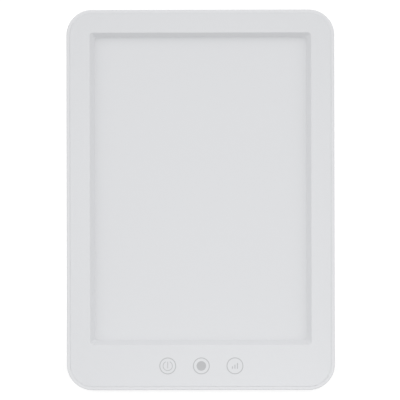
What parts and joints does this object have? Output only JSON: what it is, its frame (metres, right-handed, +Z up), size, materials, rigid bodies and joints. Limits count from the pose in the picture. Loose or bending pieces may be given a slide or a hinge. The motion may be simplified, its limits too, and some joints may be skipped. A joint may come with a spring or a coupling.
{
  "type": "light therapy lamp",
  "caption": "Slim upright light therapy panel lamp with a framed diffusing window, touch marks below it and a fold-out rear leg.",
  "frame": {"origin": "on the table, under the centre of the whole lamp's box with the leg open", "axes": "+X to the lamp's right as its user sees it, +Y towards the back, +Z up; the lit face looks along -Y and a little up"},
  "size_m": [0.162, 0.08, 0.226],
  "materials": {
    "bezel_plastic": "satin moulded plastic, cool white",
    "housing_plastic": "fine-textured moulded plastic, cool white",
    "opal_diffuser": "opal acrylic sheet with a fine matt face",
    "optical_film": "thin polyester film",
    "clear_acrylic": "clear acrylic sheet with a dot pattern",
    "sheet_aluminium": "mill finish",
    "frame_plastic": "plain moulded plastic",
    "strip_white": "white solder mask",
    "led_package": "phosphor over a white package",
    "foam_grey": "closed-cell foam",
    "insulating_film": "milky polyester film",
    "board_green": "green solder mask",
    "capacitor_sleeve": "shrunk sleeve",
    "component_black": "moulded epoxy",
    "socket_cream": "moulded nylon",
    "ribbon_white": "flat flexible cable",
    "lead_insulation": "soft wire insulation",
    "jack_black": "moulded black plastic",
    "contact_metal": "nickel-plated brass",
    "screw_steel": "zinc-plated steel",
    "screen_black": "fine woven dust screen",
    "foot_rubber": "grey silicone rubber"
  },
  "bodies": {
    "lamp_body": {"front_bezel": "bezel_plastic", "rear_housing": "housing_plastic", "diffuser_panel": "opal_diffuser", "prism_film": "optical_film", "reflector_sheet": "optical_film", "light_guide_plate": "clear_acrylic", "heat_spreader": "sheet_aluminium", "optic_frame": "frame_plastic", "light_strip_left": "strip_white", "light_strip_right": "strip_white", "light_chips_left": "led_package", "light_chips_right": "led_package", "foam_strips": "foam_grey", "touch_pads": "foam_grey", "insulator_sheet": "insulating_film", "driver_board": "board_green", "touch_board": "board_green", "input_capacitors": "capacitor_sleeve", "power_inductor": "component_black", "driver_chips": "component_black", "touch_chip": "component_black", "ribbon_sockets": "socket_cream", "touch_ribbon": "ribbon_white", "light_leads": "lead_insulation", "dc_jack": "jack_black", "dc_jack_pin": "contact_metal", "board_screws": "screw_steel", "cover_screws": "screw_steel", "hinge_pin": "screw_steel", "vent_screen": "screen_black", "base_foot_left": "foot_rubber", "base_foot_right": "foot_rubber"},
    "stand": {"stand_leg": "housing_plastic", "stand_foot_pad": "foot_rubber"}
  },
  "joints": [
    {"name": "stand_fold", "type": "hinge", "parent": "lamp_body", "child": "stand", "pos_m": [0, 0.00982, 0.12728], "axis": [1, 0, 0], "range_deg": [-27, 0]}
  ]
}
